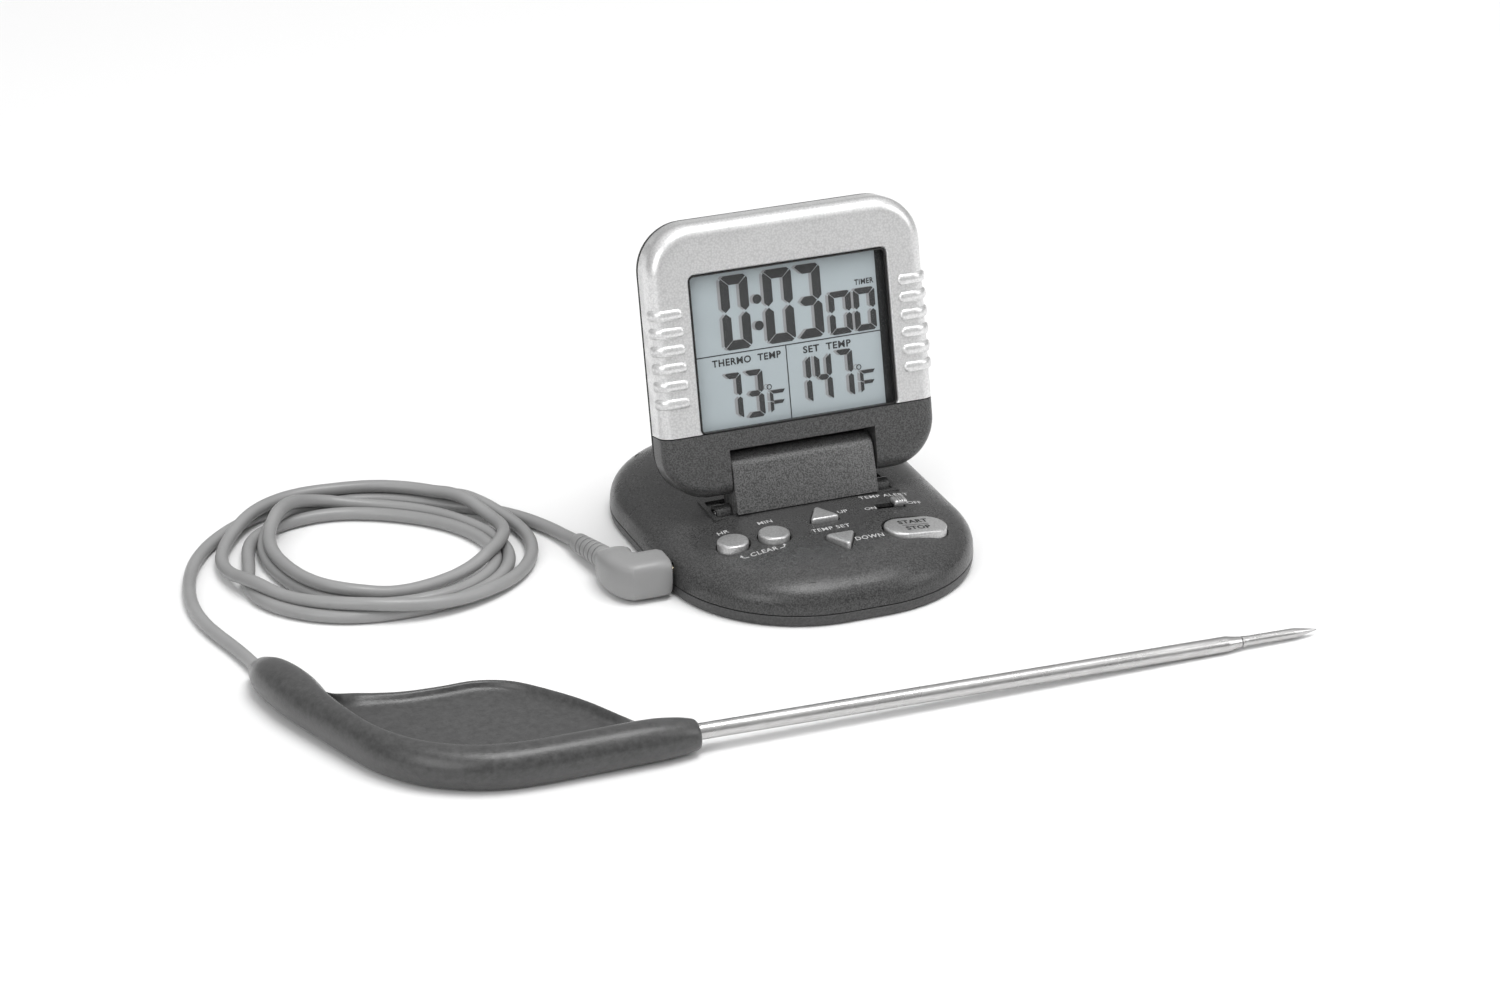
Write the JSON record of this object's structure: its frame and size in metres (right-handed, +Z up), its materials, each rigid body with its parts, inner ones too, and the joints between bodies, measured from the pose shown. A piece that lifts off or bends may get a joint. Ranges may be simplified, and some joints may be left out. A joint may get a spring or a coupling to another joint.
{
  "type": "oven probe thermometer and timer",
  "caption": "Kitchen probe thermometer and timer: a rounded base with keys, a tilting framed display head, and a corded steel probe with a flat soft handle and an angled plug",
  "frame": {"origin": "centre of the base's flat underside, on the surface it stands on", "axes": "+X the base's right and along the probe towards its tip, -Y the front where the keys are, +Z up"},
  "size_m": [0.2403, 0.1633, 0.082],
  "materials": {
    "dark_plastic": "fine grained moulding",
    "silver_paint": "metallic silver paint on plastic",
    "silver_key": "satin silver paint on plastic",
    "black_plastic": "satin",
    "clear_plastic": "clear polished",
    "display_glass": "grey reflective display, satin",
    "contact_rubber": "matt",
    "board_green": "solder mask",
    "steel": "brushed along its length",
    "plated_brass": "plated",
    "handle_silicone": "matt silicone",
    "cord_grey": "satin moulded sheath",
    "battery_label": "printed film over a metal can"
  },
  "bodies": {
    "base": {"base_top_shell": "dark_plastic", "base_bottom_cover": "dark_plastic", "base_screw_1": "steel", "base_screw_2": "steel", "base_screw_3": "steel", "base_screw_4": "steel", "battery": "battery_label", "battery_contact_plate": "plated_brass", "battery_contact_spring": "plated_brass", "main_circuit_board": "board_green", "key_mat": "contact_rubber", "buzzer": "black_plastic", "probe_jack": "black_plastic", "alert_switch_body": "black_plastic", "magnet_left": "steel", "magnet_right": "steel", "lower_hinge_pin": "steel"},
    "battery_door": {"battery_door": "dark_plastic"},
    "hr_button": {"hr_button": "silver_key"},
    "min_button": {"min_button": "silver_key"},
    "up_button": {"up_button": "silver_key"},
    "down_button": {"down_button": "silver_key"},
    "start_stop_button": {"start_stop_button": "silver_key"},
    "alert_switch": {"alert_switch_knob": "silver_key"},
    "leaf": {"hinge_leaf": "dark_plastic", "upper_hinge_pin": "steel"},
    "head": {"head_bezel": "silver_paint", "head_chin": "dark_plastic", "head_rear_shell": "dark_plastic", "display_liner": "black_plastic", "display_lens": "clear_plastic", "display_panel": "display_glass", "display_contact_strip": "contact_rubber", "display_circuit_board": "board_green", "display_driver_chip": "black_plastic", "head_screw_1": "steel", "head_screw_2": "steel", "head_screw_3": "steel", "head_screw_4": "steel"},
    "lead": {"plug_body": "cord_grey", "plug_strain_relief": "cord_grey", "plug_sleeve": "plated_brass", "plug_insulator": "black_plastic", "plug_tip": "plated_brass", "cord_to_plug": "cord_grey", "cord_coil": "cord_grey", "cord_to_probe": "cord_grey", "probe_handle": "handle_silicone", "handle_core": "dark_plastic", "probe_stem": "steel", "probe_tip": "steel", "temperature_sensor": "black_plastic"}
  },
  "joints": [
    {"name": "hr_press", "type": "slide", "parent": "base", "child": "hr_button", "axis": [0, 0, -1], "range_m": [0, 0.0008], "stiffness_N_per_m": 1200},
    {"name": "min_press", "type": "slide", "parent": "base", "child": "min_button", "axis": [0, 0, -1], "range_m": [0, 0.0008], "stiffness_N_per_m": 1200},
    {"name": "up_press", "type": "slide", "parent": "base", "child": "up_button", "axis": [0, 0, -1], "range_m": [0, 0.0008], "stiffness_N_per_m": 1200},
    {"name": "down_press", "type": "slide", "parent": "base", "child": "down_button", "axis": [0, 0, -1], "range_m": [0, 0.0008], "stiffness_N_per_m": 1200},
    {"name": "start_stop_press", "type": "slide", "parent": "base", "child": "start_stop_button", "axis": [0, 0, -1], "range_m": [0, 0.0008], "stiffness_N_per_m": 1200},
    {"name": "alert_switch_slide", "type": "slide", "parent": "base", "child": "alert_switch", "axis": [-1, 0, 0], "range_m": [0, 0.0045]},
    {"name": "leaf_hinge", "type": "hinge", "parent": "base", "child": "leaf", "pos_m": [0, -0.0069, 0.0126], "axis": [1, 0, 0], "range_deg": [-12, 0]},
    {"name": "head_hinge", "type": "hinge", "parent": "leaf", "child": "head", "pos_m": [0, -0.00443, 0.02172], "axis": [1, 0, 0], "range_deg": [-64, 98]},
    {"name": "lead_unplug", "type": "slide", "parent": "base", "child": "lead", "axis": [-1, 0, 0], "range_m": [0, 0.014]},
    {"name": "battery_door_lift", "type": "slide", "parent": "base", "child": "battery_door", "axis": [0, 0, -1], "range_m": [0, 0.006]}
  ]
}
